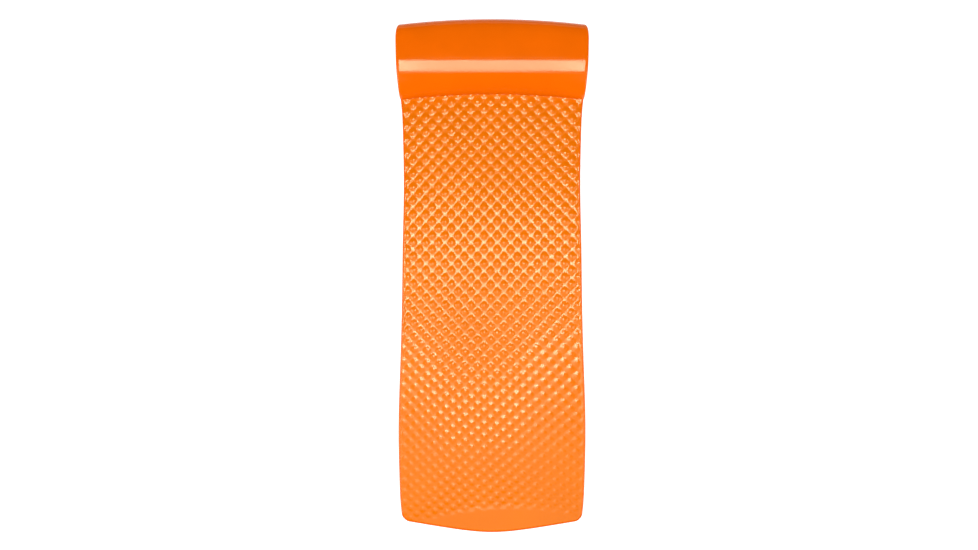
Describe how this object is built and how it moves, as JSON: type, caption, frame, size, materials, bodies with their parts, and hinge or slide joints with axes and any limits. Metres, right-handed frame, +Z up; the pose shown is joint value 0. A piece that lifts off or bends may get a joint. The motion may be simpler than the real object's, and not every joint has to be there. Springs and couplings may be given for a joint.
{
  "type": "foam float mat with rolled pillow",
  "caption": "Long vinyl-coated foam float mat with an embossed, dimpled top face and a smooth rolled pillow across its head end.",
  "frame": {"origin": "centre of the footprint, on the flat underside", "axes": "+X across the mat, +Y along it towards the pillow, +Z up out of the lying face"},
  "size_m": [0.6574, 1.778, 0.12],
  "materials": {
    "smooth_vinyl": "gloss",
    "embossed_vinyl": "gloss",
    "foam": "matte",
    "filler_foam": "matte",
    "adhesive": "satin"
  },
  "bodies": {
    "root": {"foam_sheet": "foam", "filler_roll": "filler_foam", "filler_bond": "adhesive", "landing_bond": "adhesive", "base_skin": "smooth_vinyl", "mat_face_skin": "embossed_vinyl", "mat_edge_skin": "smooth_vinyl", "pillow_skin": "smooth_vinyl", "pillow_left_end_skin": "smooth_vinyl", "pillow_right_end_skin": "smooth_vinyl"}
  },
  "joints": []
}
